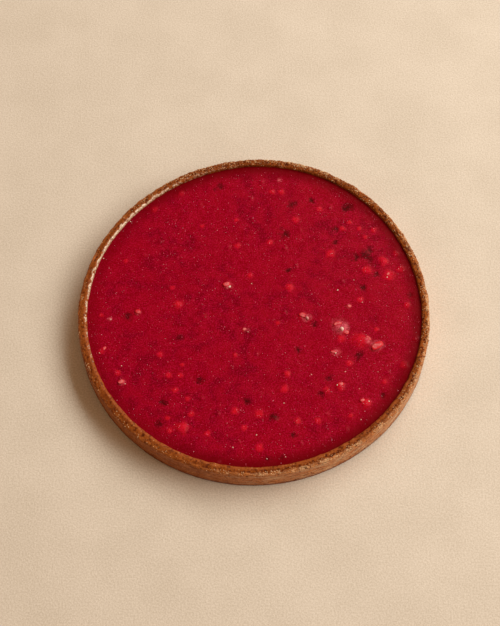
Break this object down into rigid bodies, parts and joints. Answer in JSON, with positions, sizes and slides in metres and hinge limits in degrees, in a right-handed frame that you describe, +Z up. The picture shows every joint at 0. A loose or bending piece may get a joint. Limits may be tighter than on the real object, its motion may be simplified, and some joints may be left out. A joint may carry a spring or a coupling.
{
  "type": "praline tart",
  "caption": "Round straight-sided shortcrust tart with a hand-cut rim, filled almost to the top with glossy crimson praline cream that holds lumps of almond.",
  "frame": {"origin": "centre of the flat base, where the tart stands", "axes": "+Z up out of the filling; +X to the right and +Y away from the viewer of the picture"},
  "size_m": [0.2413, 0.2414, 0.0205],
  "materials": {
    "baked_dough": "baked shortcrust, rough brown crumb with a satin wall and a moist inner lip",
    "praline_cream": "set sugar and cream, wet crimson gloss with a fine pale grain"
  },
  "bodies": {
    "root": {"crust": "baked_dough", "praline_filling": "praline_cream"}
  },
  "joints": []
}
